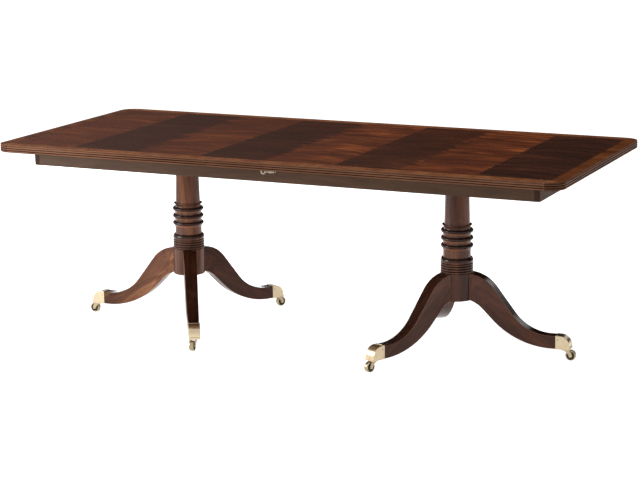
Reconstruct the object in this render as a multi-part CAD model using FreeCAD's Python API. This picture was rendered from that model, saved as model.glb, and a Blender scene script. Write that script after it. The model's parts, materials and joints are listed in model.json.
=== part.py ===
import FreeCAD, Part
import math
import os

# A double pedestal dining table in mahogany. Two half tops meet in the middle and draw apart on
# telescoping slides. Each half stands on a turned pedestal with three sabre legs in brass castors.
# All sizes are millimetres. The origin is on the floor under the middle of the table, X runs along
# its length, the front faces -Y and Z is up.
V = FreeCAD.Vector
UP = V(0, 0, 1)
LEFT = -1
RIGHT = 1
FRONT = -1
BACK = 1

# Top
table_height = 762.0
top_length = 2235.0
top_width = 1016.0
top_thickness = 29.0
top_corner_radius = 60.0
half_gap = 0.4              # daylight between the closed halves
veneer_thickness = 1.0
crossband_width = 52.0
leaves_per_half = 4
lipping_width = 24.0        # solid edging round the core
reed_count = 3
reed_depth = 3.0
arris_height = 4.0          # upright fillet above the reeds
arris_setback = 1.0         # how far that fillet stands behind the crests of the reeds
dowel_radius = 5.0
dowel_spacing = 350.0
dowel_hold = 25.0           # length fixed in the right half
dowel_reach = 20.0          # length that enters the left half
dowel_clearance = 0.1

# Aprons
apron_depth = 62.0
apron_thickness = 20.0
apron_side_overhang = 112.0
apron_end_overhang = 108.0
apron_tongue_width = 8.0
apron_tongue_length = 8.0
joint_rail_thickness = 22.0
corner_block_leg = 60.0
corner_block_depth = 48.0
wood_clearance = 0.15       # between pieces of wood that are let into each other

# Telescoping slides
extension = 1016.0          # room for two leaves of 508
runner_end_gap = 60.0       # from the runner to the end apron
runner_width = 30.0
runner_depth = 45.0
runner_offset = 200.0       # from the middle of the table to the runner's inner face
slide_end_inset = 22.0      # how far the middle slide stops short of the runner's end
slide_width = 30.0
slide_tongue_height = 10.0
slide_tongue_reach = 9.0
slide_clearance = 0.4
groove_end_wall = 10.0
stop_margin = 2.0
notch_clearance = 1.0

# Pedestals
pedestal_spacing = 1128.0
right_pedestal_turn = 4.5   # the right pedestal stands turned a little, as photographed
leg_spread = 120.0          # degrees from one leg to the next
block_size = 320.0
block_thickness = 36.0
tenon_radius = 30.0
tenon_end_gap = 1.0
drum_bottom = 203.0
drum_height = 102.0
drum_radius = 61.5
collar_reeds = 4
collar_reed_pitch = 9.5
collar_reed_depth = 2.5
collar_reed_flat = 4.0      # width of a reed's face between its bevels
torus_height = 20.0
neck_height = 22.0
neck_radius = 52.0
ring_count = 3
ring_pitch = 28.5
ring_height = 13.5
ring_radius = 61.3
ring_root_radius = 56.0
cove_hollow = 1.2           # how deep the cove under a ring is hollowed
lip_rise = 14.0             # from the top ring to the edge of the flared lip
lip_waist_radius = 50.0
lip_radius = 56.0
lip_hollow = 3.0
lip_thickness = 2.0
shaft_base_radius = 48.0
shaft_top_radius = 42.5

# Legs, measured out from the pedestal's axis
toe_reach = 383.0
toe_height = 49.0
leg_root_width = 55.0
leg_toe_width = 42.0
leg_edge_bevel = 1.8
dovetail_neck = 16.0
dovetail_tail = 22.0
dovetail_depth = 16.0
dovetail_top_gap = 9.0      # wood left above the dovetail socket
leg_plate_thickness = 3.0
leg_plate_hub_radius = 30.0
leg_plate_margin = 0.5      # from the plate's arms to the edge of the drum

# Sweep of a leg's two edges: slope at the drum, how much steeper than its chord the edge gets, both
# in degrees, radius of the shoulder and length of the level stretch before the toe
upper_root_slope = 7.0
upper_steepening = 16.9
upper_shoulder_radius = 129.0
upper_toe_flat = 24.0
lower_root_slope = 19.0
lower_steepening = 17.6
lower_shoulder_radius = 114.0
lower_toe_flat = 15.0

# Brass toe caps
cap_proud = 1.0             # how far the cap stands out from the wood
cap_wall = 3.0
cap_floor = 5.0
cap_socket = 22.0
cap_length = 53.0
cap_nose_round = 38.0
cap_lip_height = 8.0
cap_lip_reach = 2.5
cap_rim_length = 4.0
cap_rim_proud = 1.0
cap_clearance = 0.15

# Castors
castor_trail = 25.0
turned_castor = -20.0       # the castor of the left pedestal's front leg stands turned, as photographed
wheel_radius = 19.5
wheel_top_gap = 3.5         # between the wheel and the cap above it
wheel_width = 18.0
wheel_bevel = 1.6
wheel_bevel_width = 3.2
wheel_rim = 4.5             # thickness of the tread round the dished sides
wheel_dish = 4.0            # depth of the dish
wheel_hub_radius = 7.0
axle_radius = 3.0
axle_clearance = 0.05
stem_radius = 4.0
stem_height = 20.0
stem_wall = 3.0             # brass between the stem and the leg's tenon
crown_radius = 14.0
crown_thickness = 3.5
fork_wall = 3.0
fork_clearance = 0.6        # beside the wheel
fork_eye_radius = 6.5
fork_outer_bow = 7.0        # how far the arm's edges bow from a straight line
fork_inner_bow = 4.4
swivel_clearance = 0.3      # between the horn and the cap

# Latch hooks on the aprons
hook_pivot_x = -37.0
hook_pivot_drop = 23.5      # below the underside of the top
hook_ring_radius = 10.5
hook_thickness = 4.0
hook_reach = 45.5           # from the pivot to the notch
hook_arm_width = 4.0
hook_swell_reach = 26.5     # from the pivot to the widest place of the arm
hook_swell_width = 9.0
hook_swell_slope = 4.5      # length over which the arm widens
hook_end_rise = 5.0         # of the end above the notch
hook_end_wall = 2.8
hook_tooth_drop = 3.0
hook_close_angle = 8.0      # the hook drops this far to lie over its keeper
pivot_shank_radius = 4.0
pivot_washer_radius = 9.0
pivot_head_radius = 5.4
keeper_radius = 2.5
keeper_clearance = 0.3
keeper_head_radius = 3.5
latch_washer = 1.2
latch_head = 2.0
latch_play = 0.2
latch_screw_radius = 2.0
latch_screw_length = 12.0
latch_screw_clearance = 0.1

# Heights and faces that several pieces share
top_underside = table_height - top_thickness
core_top = table_height - veneer_thickness
lipping_height = core_top - top_underside
apron_bottom = top_underside - apron_depth
apron_face = top_width / 2 - apron_side_overhang
end_apron_face = top_length / 2 - apron_end_overhang
rail_start = half_gap / 2
runner_start = rail_start + joint_rail_thickness
runner_end = end_apron_face - apron_thickness - runner_end_gap
slide_half_length = runner_end - slide_end_inset
groove_half_length = slide_half_length - groove_end_wall
drum_top = drum_bottom + drum_height
block_bottom = top_underside - block_thickness
cap_bottom = 2 * wheel_radius + wheel_top_gap
toe_bottom = cap_bottom + cap_proud / 2
toe_top = toe_bottom + toe_height
cap_top = toe_top + cap_proud
cap_half_width = leg_toe_width / 2 + cap_proud
cap_inside_top = cap_top - cap_wall
cap_inside_bottom = cap_bottom + cap_floor
cap_inside_half_width = cap_half_width - cap_wall
swivel_reach = toe_reach + cap_socket + stem_wall + stem_radius
axle_reach = swivel_reach + castor_trail
wheel_half_width = wheel_width / 2
dovetail_top = drum_top - dovetail_top_gap
dovetail_centre = drum_radius - dovetail_depth / 2
hook_pivot_z = top_underside - hook_pivot_drop
hook_bore_radius = pivot_shank_radius + axle_clearance
hook_notch_radius = keeper_radius + keeper_clearance


def upright(a, b):
    """A point in the XZ plane."""
    return V(a, 0, b)


class Outline:
    """A chain of lines and arcs in one plane, which can be closed to a face."""

    def __init__(self, plane, start):
        self.plane = plane
        self.first = start
        self.at = start
        self.edges = []

    def line(self, *end):
        self.edges.append(Part.LineSegment(self.plane(*self.at), self.plane(*end)).toShape())
        self.at = end

    def arc(self, middle, end):
        self.edges.append(Part.Arc(self.plane(*self.at), self.plane(*middle), self.plane(*end)).toShape())
        self.at = end

    def bow(self, end, rise):
        """An arc whose middle stands off its chord, to the left of its direction."""
        across = (end[0] - self.at[0], end[1] - self.at[1])
        lift = rise / math.hypot(*across)
        self.arc(((self.at[0] + end[0]) / 2 - across[1] * lift,
                  (self.at[1] + end[1]) / 2 + across[0] * lift), end)

    def dome(self, radius, base, rise):
        """A round head from its rim at the given radius to its crown on the axis."""
        ball = (radius ** 2 + rise ** 2) / (2 * abs(rise))
        half = math.asin(radius / ball) / 2
        lift = math.copysign(ball * (1 - math.cos(half)), rise)
        self.arc((ball * math.sin(half), base + rise - lift), (0, base + rise))

    def wire(self):
        return Part.Wire(self.edges)

    def face(self):
        if math.dist(self.at, self.first) > 1e-6:
            self.line(*self.first)
        return Part.Face(self.wire())


def block(x, y, z):
    """A box between pairs of limits, given in either order."""
    low = V(min(x), min(y), min(z))
    high = V(max(x), max(y), max(z))
    size = high - low
    return Part.makeBox(size.x, size.y, size.z, low)


def turned(profile, axis=UP):
    """A solid turned about an axis through the origin from a half profile."""
    solid = profile.face().revolve(V(0, 0, 0), axis, 360)
    if solid.Volume < 0:
        solid.reverse()
    return solid


def placed(shape, turn, x):
    """A copy turned about the vertical and moved along X, as from one leg to another."""
    copy = shape.copy()
    copy.rotate(V(0, 0, 0), UP, turn)
    copy.translate(V(x, 0, 0))
    return copy


def swivelled(shape, turn):
    """A copy turned about the upright stem of the castor at turn 0."""
    copy = shape.copy()
    copy.rotate(V(swivel_reach, 0, 0), UP, turn)
    return copy


def save(name, solids):
    shape = solids[0] if len(solids) == 1 else Part.makeCompound(solids)
    shape.exportStep(f"parts/{name}.step")


# Top: core, edging, veneers and dowels
def half_outline(side, inset, height):
    """Plan of one half of the top from its front joint corner round to its back one."""
    radius = top_corner_radius - inset
    joint = side * half_gap / 2
    end = side * (top_length / 2 - inset)
    edge = top_width / 2 - inset
    corner_x = end - side * radius
    corner_y = edge - radius
    knee = radius * math.sqrt(0.5)
    outline = Outline(lambda x, y: V(x, y, height), (joint, -edge))
    outline.line(corner_x, -edge)
    outline.arc((corner_x + side * knee, -corner_y - knee), (end, -corner_y))
    outline.line(end, corner_y)
    outline.arc((corner_x + side * knee, corner_y + knee), (corner_x, edge))
    outline.line(joint, edge)
    return outline


def joint_dowels(clearance):
    """Dowels across the middle joint, or their holes where a clearance is given."""
    radius = dowel_radius + clearance
    nose = radius / 2
    left = -dowel_reach - clearance + rail_start
    right = dowel_hold + clearance + rail_start
    dowels = []
    for place in (-1, 0, 1):
        outline = Outline(upright, (left, 0))
        outline.line(left, radius - nose)
        outline.line(left + nose, radius)
        outline.line(right, radius)
        outline.line(right, 0)
        dowel = turned(outline, V(1, 0, 0))
        dowel.translate(V(0, place * dowel_spacing, (top_underside + core_top) / 2))
        dowels.append(dowel)
    return dowels


def core_panel(side):
    core = half_outline(side, lipping_width, top_underside).face().extrude(V(0, 0, lipping_height))
    return core.cut(joint_dowels(dowel_clearance))


def reeded_edge(side):
    """Edging swept round three sides, with reeds below an upright fillet."""
    joint = side * half_gap / 2
    profile = Outline(
        lambda depth, rise: V(joint, depth - top_width / 2, top_underside + rise),
        (lipping_width, 0))
    reed_pitch = (lipping_height - arris_height) / reed_count
    profile.line(reed_depth, 0)
    for reed in range(reed_count):
        foot = reed * reed_pitch
        profile.arc((0, foot + reed_pitch / 2), (reed_depth, foot + reed_pitch))
    profile.line(arris_setback, lipping_height - arris_height)
    profile.line(arris_setback, lipping_height)
    profile.line(lipping_width, lipping_height)
    section = profile.face().OuterWire
    return half_outline(side, 0, top_underside).wire().makePipeShell([section], True, False)


def veneer_field(side, first, last):
    """The stretch of the veneered field between two leaf boundaries, counted from the joint."""
    joint = half_gap / 2
    leaf = (top_length / 2 - crossband_width - joint) / leaves_per_half
    edge = top_width / 2 - crossband_width
    span = (side * (joint + first * leaf), side * (joint + last * leaf))
    return block(span, (-edge, edge), (core_top, table_height))


def veneers(side, first):
    """Every other leaf of one half, from the given one outwards."""
    return [veneer_field(side, leaf, leaf + 1) for leaf in range(first, leaves_per_half, 2)]


def crossband(side):
    sheet = half_outline(side, arris_setback, core_top).face().extrude(V(0, 0, veneer_thickness))
    return sheet.cut(veneer_field(side, 0, leaves_per_half))


# Aprons and rails under the top
def apron_tongue(side, y_sign, clearance):
    """Tongue of a side apron in the end apron's groove, or the groove with its clearance."""
    start = end_apron_face - apron_thickness
    centre = y_sign * (apron_face - apron_thickness / 2)
    half = apron_tongue_width / 2 + clearance
    return block((side * start, side * (start + apron_tongue_length + clearance)),
                 (centre - half, centre + half), (apron_bottom, top_underside))


def side_apron(side, y_sign, latch_holes):
    rail = block((side * rail_start, side * (end_apron_face - apron_thickness)),
                 (y_sign * (apron_face - apron_thickness), y_sign * apron_face),
                 (apron_bottom, top_underside))
    return rail.fuse(apron_tongue(side, y_sign, 0)).removeSplitter().cut(latch_holes)


def end_apron(side):
    rail = block((side * (end_apron_face - apron_thickness), side * end_apron_face),
                 (-apron_face, apron_face), (apron_bottom, top_underside))
    return rail.cut([apron_tongue(side, y_sign, wood_clearance) for y_sign in (FRONT, BACK)])


def corner_block(side, y_sign):
    """Glue block with a slanted face in the corner of the aprons."""
    corner_x = side * (end_apron_face - apron_thickness)
    corner_y = y_sign * (apron_face - apron_thickness)
    outline = Outline(lambda x, y: V(x, y, top_underside - corner_block_depth), (corner_x, corner_y))
    outline.line(corner_x - side * corner_block_leg, corner_y)
    outline.line(corner_x, corner_y - y_sign * corner_block_leg)
    return outline.face().extrude(V(0, 0, corner_block_depth))


def joint_rail(side):
    """Cross rail at the middle joint, notched over the slides."""
    width = apron_face - apron_thickness
    rail = block((side * rail_start, side * runner_start), (-width, width), (apron_bottom, top_underside))
    notches = []
    for y_sign in (FRONT, BACK):
        inner = runner_offset + runner_width + slide_clearance
        outer = inner + slide_width
        notches.append(block((side * rail_start, side * runner_start),
                             (y_sign * (inner - notch_clearance), y_sign * (outer + notch_clearance)),
                             (top_underside - runner_depth - notch_clearance, top_underside)))
    return rail.cut(notches)


# Telescoping slides
def slide_runner(side, y_sign):
    """Fixed runner under one half; its tongue is as long as the groove leaves for the travel."""
    inner = runner_offset
    outer = runner_offset + runner_width
    middle = top_underside - runner_depth / 2
    tongue_end = groove_half_length - extension / 2 - stop_margin
    runner = block((side * runner_start, side * runner_end),
                   (y_sign * inner, y_sign * outer), (top_underside - runner_depth, top_underside))
    tongue = block((side * runner_start, side * tongue_end),
                   (y_sign * outer, y_sign * (outer + slide_tongue_reach)),
                   (middle - slide_tongue_height / 2, middle + slide_tongue_height / 2))
    return runner.fuse(tongue).removeSplitter()


def middle_slide(y_sign):
    """Loose slide between the two runners, with a stopped groove for both tongues."""
    inner = runner_offset + runner_width + slide_clearance
    groove_floor = runner_offset + runner_width + slide_tongue_reach + slide_clearance
    middle = top_underside - runner_depth / 2
    half_groove = slide_tongue_height / 2 + slide_clearance
    bar = block((-slide_half_length, slide_half_length), (y_sign * inner, y_sign * (inner + slide_width)),
                (top_underside - runner_depth, top_underside - slide_clearance))
    groove = block((-groove_half_length, groove_half_length),
                   (y_sign * inner, y_sign * groove_floor),
                   (middle - half_groove, middle + half_groove))
    return bar.cut(groove)


# Pedestals
def pedestal_block(x):
    half = block_size / 2
    board = block((x - half, x + half), (-half, half), (block_bottom, top_underside))
    mortise = Part.makeCylinder(tenon_radius + wood_clearance, block_thickness, V(x, 0, block_bottom))
    return board.cut(mortise)


def dovetail(clearance):
    """Sliding dovetail of a leg at turn 0, or its socket in the drum."""
    bite = dovetail_depth / 4
    root = drum_radius - dovetail_depth - clearance
    mouth = drum_radius + bite
    tail_half = dovetail_tail / 2 + clearance
    slope = (dovetail_tail - dovetail_neck) / 2 / dovetail_depth
    mouth_half = dovetail_neck / 2 - slope * bite + clearance
    outline = Outline(lambda x, y: V(x, y, drum_bottom), (root, -tail_half))
    outline.line(mouth, -mouth_half)
    outline.line(mouth, mouth_half)
    outline.line(root, tail_half)
    return outline.face().extrude(V(0, 0, dovetail_top - drum_bottom + clearance))


def column(turns):
    """Turned column from drum to tenon, with a dovetail socket for each leg."""
    outline = Outline(upright, (0, drum_bottom))
    outline.line(drum_radius, drum_bottom)
    outline.line(drum_radius, drum_top)
    groove_radius = drum_radius - collar_reed_depth
    outline.line(groove_radius, drum_top)
    height = drum_top
    reed_bevel = (collar_reed_pitch - collar_reed_flat) / 2
    for reed in range(collar_reeds):
        outline.line(drum_radius, height + reed_bevel)
        outline.line(drum_radius, height + collar_reed_pitch - reed_bevel)
        outline.line(groove_radius, height + collar_reed_pitch)
        height += collar_reed_pitch
    outline.arc((drum_radius, height + torus_height / 2), (ring_root_radius, height + torus_height))
    height += torus_height
    outline.line(neck_radius, height)
    height += neck_height
    outline.line(neck_radius, height)
    cove_height = ring_pitch - ring_height
    for ring in range(ring_count):
        outline.bow((ring_root_radius, height + cove_height), cove_hollow)
        height += cove_height
        outline.arc((ring_radius, height + ring_height / 2), (ring_root_radius, height + ring_height))
        height += ring_height
        top_ring = ring == ring_count - 1
        outline.line(lip_waist_radius if top_ring else neck_radius, height)
    lip_height = height + lip_rise
    outline.bow((lip_radius, lip_height), lip_hollow)
    outline.line(lip_radius, lip_height + lip_thickness)
    outline.line(shaft_base_radius, lip_height + lip_thickness)
    outline.line(shaft_top_radius, block_bottom)
    outline.line(tenon_radius, block_bottom)
    outline.line(tenon_radius, top_underside - tenon_end_gap)
    outline.line(0, top_underside - tenon_end_gap)
    sockets = [placed(dovetail(wood_clearance), turn, 0) for turn in turns]
    return turned(outline).cut(sockets)


def sabre_edge(root_height, end_height, root_slope, steepening, shoulder_radius, toe_flat):
    """Corners and arc middles of one edge of a leg: a shoulder, a straight, a sweep and a level toe.

    The straight and the sweep are as long as the reach and the drop leave for them."""
    chord = math.atan2(root_height - end_height, toe_reach - toe_flat - drum_radius)
    start = math.radians(root_slope)
    steep = chord + math.radians(steepening)

    def along_shoulder(angle):
        return (drum_radius + shoulder_radius * (math.sin(angle) - math.sin(start)),
                root_height - shoulder_radius * (math.cos(start) - math.cos(angle)))

    shoulder = along_shoulder(steep)
    reach = toe_reach - toe_flat - shoulder[0]
    drop = shoulder[1] - end_height
    slack = 1 - math.cos(steep)
    sweep_radius = (reach * math.sin(steep) - drop * math.cos(steep)) / slack
    straight = (drop * math.sin(steep) - reach * slack) / slack
    sweep = (shoulder[0] + straight * math.cos(steep), shoulder[1] - straight * math.sin(steep))
    sweep_middle = (toe_reach - toe_flat - sweep_radius * math.sin(steep / 2),
                    end_height + sweep_radius * (1 - math.cos(steep / 2)))
    return {"root": (drum_radius, root_height), "shoulder_middle": along_shoulder((start + steep) / 2),
            "shoulder": shoulder, "sweep": sweep, "sweep_middle": sweep_middle,
            "flat": (toe_reach - toe_flat, end_height), "toe": (toe_reach, end_height)}


def leg():
    """Sabre leg at turn 0: tapered board, coped to the drum, with its dovetail and toe tenon."""
    inside = drum_radius - dovetail_depth
    taper = (leg_root_width - leg_toe_width) / 2 / (toe_reach - drum_radius)
    inside_half = leg_root_width / 2 + taper * dovetail_depth
    upper_inside = drum_top + dovetail_depth * math.tan(math.radians(upper_root_slope))
    lower_inside = drum_bottom + dovetail_depth * math.tan(math.radians(lower_root_slope))
    upper = sabre_edge(drum_top, toe_top, upper_root_slope, upper_steepening,
                       upper_shoulder_radius, upper_toe_flat)
    lower = sabre_edge(drum_bottom, toe_bottom, lower_root_slope, lower_steepening,
                       lower_shoulder_radius, lower_toe_flat)
    outline = Outline(lambda a, b: V(a, -inside_half, b), (inside, lower_inside))
    outline.line(*lower["root"])
    outline.arc(lower["shoulder_middle"], lower["shoulder"])
    outline.line(*lower["sweep"])
    outline.arc(lower["sweep_middle"], lower["flat"])
    outline.line(*lower["toe"])
    outline.line(*upper["toe"])
    outline.line(*upper["flat"])
    outline.arc(upper["sweep_middle"], upper["sweep"])
    outline.line(*upper["shoulder"])
    outline.arc(upper["shoulder_middle"], upper["root"])
    outline.line(inside, upper_inside)
    board = outline.face().extrude(V(0, 2 * inside_half, 0))

    plan = Outline(lambda x, y: V(x, y, 0), (inside, -inside_half))
    plan.line(toe_reach, -leg_toe_width / 2)
    plan.line(toe_reach, leg_toe_width / 2)
    plan.line(inside, inside_half)
    blank = board.common(plan.face().extrude(V(0, 0, upper_inside)))
    drum = Part.makeCylinder(drum_radius + wood_clearance, upper_inside, V(0, 0, 0))
    coped = blank.cut(drum)
    long_edges = [edge for edge in coped.Edges if edge.BoundBox.XLength > edge.BoundBox.YLength]
    bevelled = coped.makeChamfer(leg_edge_bevel, long_edges)

    half = cap_inside_half_width - cap_clearance
    tenon = block((toe_reach, toe_reach + cap_socket - cap_clearance), (-half, half),
                  (cap_inside_bottom + cap_clearance, cap_inside_top - cap_clearance))
    return bevelled.fuse([dovetail(0), tenon]).removeSplitter()


def leg_plate(turns):
    """Flat iron star under the drum that keeps the dovetails from sliding down."""
    low = drum_bottom - leg_plate_thickness
    half = dovetail_depth / 2 - leg_plate_margin
    plate = Part.makeCylinder(leg_plate_hub_radius, leg_plate_thickness, V(0, 0, low))
    for turn in turns:
        arm = block((0, dovetail_centre), (-half, half), (low, drum_bottom))
        end = Part.makeCylinder(half, leg_plate_thickness, V(dovetail_centre, 0, low))
        plate = plate.fuse([placed(arm, turn, 0), placed(end, turn, 0)])
    return plate.removeSplitter()


# Toe caps and castors, at turn 0
def toe_cap():
    """Brass box with a quarter-round nose, a lip below it and a rim where the wood enters."""
    nose = toe_reach + cap_length
    round_x = nose - cap_nose_round
    round_z = cap_top - cap_nose_round
    knee = cap_nose_round * math.sqrt(0.5)
    outline = Outline(lambda a, b: V(a, -cap_half_width, b), (toe_reach, cap_bottom))
    outline.line(nose + cap_lip_reach, cap_bottom)
    outline.line(nose + cap_lip_reach, cap_bottom + cap_lip_height)
    outline.line(nose, cap_bottom + cap_lip_height)
    outline.line(nose, round_z)
    outline.arc((round_x + knee, round_z + knee), (round_x, cap_top))
    outline.line(toe_reach, cap_top)
    body = outline.face().extrude(V(0, 2 * cap_half_width, 0))
    rim_half = cap_half_width + cap_rim_proud
    rim = block((toe_reach, toe_reach + cap_rim_length), (-rim_half, rim_half),
                (cap_bottom, cap_top + cap_rim_proud))
    socket = block((toe_reach, toe_reach + cap_socket), (-cap_inside_half_width, cap_inside_half_width),
                   (cap_inside_bottom, cap_inside_top))
    stem_bore = Part.makeCylinder(stem_radius + axle_clearance, stem_height, V(swivel_reach, 0, cap_bottom))
    return body.fuse(rim).removeSplitter().cut([socket, stem_bore])


def castor_horn():
    """Swivelling horn: stem, round crown and two arms that sweep out to the axle eyes."""
    top = cap_bottom - swivel_clearance
    low = top - crown_thickness
    stem = Part.makeCylinder(stem_radius, stem_height, V(swivel_reach, 0, low))
    crown = Part.makeCylinder(crown_radius, crown_thickness, V(swivel_reach, 0, low))
    inside = wheel_half_width + fork_clearance
    arm_start = swivel_reach - crown_radius / 2
    arms = []
    for y_sign in (-1, 1):
        outline = Outline(lambda a, b: V(a, y_sign * inside, b), (arm_start, top))
        outline.line(swivel_reach + crown_radius / 2, top)
        outline.bow((axle_reach + fork_eye_radius, wheel_radius), fork_outer_bow)
        outline.arc((axle_reach, wheel_radius - fork_eye_radius),
                    (axle_reach - fork_eye_radius, wheel_radius))
        outline.bow((arm_start, low), -fork_inner_bow)
        arms.append(outline.face().extrude(V(0, y_sign * fork_wall, 0)))
    return stem.fuse([crown] + arms).removeSplitter().cut(axle_pin(axle_clearance))


def axle_pin(clearance):
    half = wheel_half_width + fork_clearance + fork_wall
    return Part.makeCylinder(axle_radius + clearance, 2 * half,
                             V(axle_reach, -half, wheel_radius), V(0, 1, 0))


def castor_wheel():
    """Brass wheel with bevelled rims and dished sides, running on the axle pin."""
    bore = axle_radius + axle_clearance
    dish_edge = wheel_radius - wheel_rim
    dish_floor = wheel_half_width - wheel_dish
    outline = Outline(lambda a, b: V(a, b, 0), (bore, -wheel_half_width))
    outline.line(wheel_hub_radius, -wheel_half_width)
    outline.line(wheel_hub_radius, -dish_floor)
    outline.line(dish_edge, -dish_floor)
    outline.line(dish_edge, -wheel_half_width)
    outline.line(wheel_radius - wheel_bevel, -wheel_half_width)
    outline.line(wheel_radius, wheel_bevel_width - wheel_half_width)
    outline.line(wheel_radius, wheel_half_width - wheel_bevel_width)
    outline.line(wheel_radius - wheel_bevel, wheel_half_width)
    outline.line(dish_edge, wheel_half_width)
    outline.line(dish_edge, dish_floor)
    outline.line(wheel_hub_radius, dish_floor)
    outline.line(wheel_hub_radius, wheel_half_width)
    outline.line(bore, wheel_half_width)
    wheel = turned(outline, V(0, 1, 0))
    wheel.translate(V(axle_reach, 0, wheel_radius))
    return wheel


# Latch hooks on the front and back aprons
def latch_post(x, z, y_sign, washer, shank, head):
    """Turned post on an apron: wood screw, washer, shank for the hook and a domed head."""
    hook_room = hook_thickness + 2 * latch_play
    outline = Outline(lambda a, b: V(a, y_sign * (apron_face + b), 0), (0, -latch_screw_length))
    outline.line(latch_screw_radius, -latch_screw_length)
    outline.line(latch_screw_radius, 0)
    outline.line(washer, 0)
    outline.line(washer, latch_washer)
    outline.line(shank, latch_washer)
    outline.line(shank, latch_washer + hook_room)
    outline.line(head, latch_washer + hook_room)
    outline.dome(head, latch_washer + hook_room, latch_head)
    post = turned(outline, V(0, 1, 0))
    post.translate(V(x, 0, z))
    return post


def keeper_place():
    """The keeper lies where the notch comes to rest when the hook drops."""
    angle = math.radians(hook_close_angle)
    return hook_pivot_x + hook_reach * math.cos(angle), hook_pivot_z - hook_reach * math.sin(angle)


def hook_pivot(y_sign):
    return latch_post(hook_pivot_x, hook_pivot_z, y_sign,
                      pivot_washer_radius, pivot_shank_radius, pivot_head_radius)


def latch_keeper(y_sign):
    x, z = keeper_place()
    return latch_post(x, z, y_sign, keeper_head_radius, keeper_radius, keeper_head_radius)


def latch_screw_hole(x, z, y_sign):
    length = latch_screw_length + latch_screw_clearance
    return Part.makeCylinder(latch_screw_radius + latch_screw_clearance, length,
                             V(x, y_sign * apron_face, z), V(0, -y_sign, 0))


def latch_hook(y_sign):
    """Flat brass hook: a ring on the pivot, an arm with a thumb swelling and a notched end."""
    near = y_sign * (apron_face + latch_washer + latch_play)
    away = V(0, y_sign, 0)
    arm_root = (hook_bore_radius + hook_ring_radius) / 2
    arm_half = hook_arm_width / 2
    swell_half = hook_swell_width / 2
    swell_start = hook_swell_reach - hook_swell_slope
    tip = hook_reach + hook_notch_radius + hook_end_wall
    outline = Outline(lambda a, b: V(hook_pivot_x + a, near, hook_pivot_z + b), (arm_root, arm_half))
    outline.line(swell_start, arm_half)
    outline.line(hook_swell_reach, swell_half)
    outline.line(hook_reach, hook_end_rise)
    outline.line(tip, hook_notch_radius)
    outline.line(tip, -hook_tooth_drop)
    outline.line(hook_reach - hook_notch_radius - hook_end_wall, -hook_tooth_drop)
    outline.line(hook_swell_reach, -swell_half)
    outline.line(swell_start, -arm_half)
    outline.line(arm_root, -arm_half)
    arm = outline.face().extrude(away * hook_thickness)
    centre = V(hook_pivot_x, near, hook_pivot_z)
    ring = Part.makeCylinder(hook_ring_radius, hook_thickness, centre, away)
    bore = Part.makeCylinder(hook_bore_radius, hook_thickness, centre, away)
    notch = V(hook_pivot_x + hook_reach, near, hook_pivot_z)
    notch_round = Part.makeCylinder(hook_notch_radius, hook_thickness, notch, away)
    notch_mouth = block((notch.x - hook_notch_radius, notch.x + hook_notch_radius),
                        (near, near + y_sign * hook_thickness), (notch.z - hook_tooth_drop, notch.z))
    return ring.fuse(arm).removeSplitter().cut([bore, notch_round, notch_mouth])


# The whole table
def build_half(name, side):
    """One half of the top with its rails and runners."""
    if side == LEFT:
        latch_x, latch_z = hook_pivot_x, hook_pivot_z
        first_light = 1
    else:
        latch_x, latch_z = keeper_place()
        first_light = 0
    save(f"{name}_core_panel", [core_panel(side)])
    save(f"{name}_reeded_edge", [reeded_edge(side)])
    save(f"{name}_light_veneers", veneers(side, first_light))
    save(f"{name}_dark_veneers", veneers(side, 1 - first_light))
    save(f"{name}_crossband", [crossband(side)])
    for apron, y_sign in (("front_apron", FRONT), ("back_apron", BACK)):
        save(f"{name}_{apron}", [side_apron(side, y_sign, latch_screw_hole(latch_x, latch_z, y_sign))])
    save(f"{name}_end_apron", [end_apron(side)])
    save(f"{name}_joint_rail", [joint_rail(side)])
    save(f"{name}_corner_blocks", [corner_block(side, y_sign) for y_sign in (FRONT, BACK)])
    save(f"{name}_slide_runners", [slide_runner(side, y_sign) for y_sign in (FRONT, BACK)])


def build_pedestal(name, side, turns, castor_turns):
    """The pedestal under one half: block, column, legs, plate, toe caps and castors."""
    x = side * pedestal_spacing / 2
    angles = list(turns.values())
    save(f"{name}_pedestal_block", [pedestal_block(x)])
    save(f"{name}_column", [placed(column(angles), 0, x)])
    save(f"{name}_leg_plate", [placed(leg_plate(angles), 0, x)])
    save(f"{name}_toe_caps", [placed(toe_cap(), turn, x) for turn in angles])
    leg_pattern = leg()
    horn_pattern = [castor_horn(), axle_pin(0)]
    wheel_pattern = castor_wheel()
    for place, turn in turns.items():
        castor_turn = castor_turns.get(place, 0.0)
        horn = [placed(swivelled(solid, castor_turn), turn, x) for solid in horn_pattern]
        save(f"{name}_{place}_leg", [placed(leg_pattern, turn, x)])
        save(f"{name}_{place}_castor_horn", horn)
        save(f"{name}_{place}_castor_wheel", [placed(swivelled(wheel_pattern, castor_turn), turn, x)])


os.makedirs("parts", exist_ok=True)
build_half("left", LEFT)
build_half("right", RIGHT)
build_pedestal("left", LEFT, {
    "outer": 180.0,
    "front": 180.0 + leg_spread,
    "back": 180.0 - leg_spread}, {"front": turned_castor})
build_pedestal("right", RIGHT, {
    "outer": right_pedestal_turn,
    "front": right_pedestal_turn - leg_spread,
    "back": right_pedestal_turn + leg_spread}, {})
save("joint_dowels", joint_dowels(0))
save("middle_slides", [middle_slide(y_sign) for y_sign in (FRONT, BACK)])
save("hook_pivots", [hook_pivot(y_sign) for y_sign in (FRONT, BACK)])
save("latch_keepers", [latch_keeper(y_sign) for y_sign in (FRONT, BACK)])
save("front_latch_hook", [latch_hook(FRONT)])
save("back_latch_hook", [latch_hook(BACK)])
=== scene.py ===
import json
import math
import bmesh
import bpy
from mathutils import Matrix, Vector


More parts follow.
